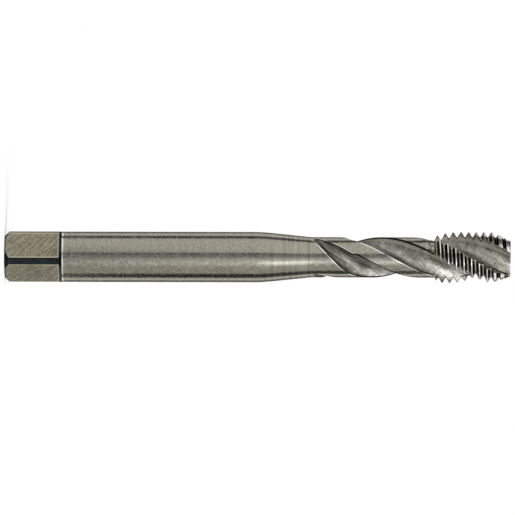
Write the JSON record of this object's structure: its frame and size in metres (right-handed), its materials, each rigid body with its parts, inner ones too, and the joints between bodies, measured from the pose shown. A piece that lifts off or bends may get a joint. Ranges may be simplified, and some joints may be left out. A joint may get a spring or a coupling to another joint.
{
  "type": "thread tap",
  "caption": "One-piece machine tap with a driving square, a plain shank, a cone, a neck, spiral flutes and a right-hand thread with a tapered lead.",
  "frame": {"origin": "centre of the end face of the shank, below the driving square", "axes": "+Z along the tool's axis, towards the tip of the thread; +X and +Y square to the flats of the driving square"},
  "size_m": [0.01, 0.01, 0.1],
  "materials": {
    "ground_steel": "ground high-speed steel, bright, with fine grinding lines"
  },
  "bodies": {
    "root": {"tap": "ground_steel"}
  },
  "joints": []
}
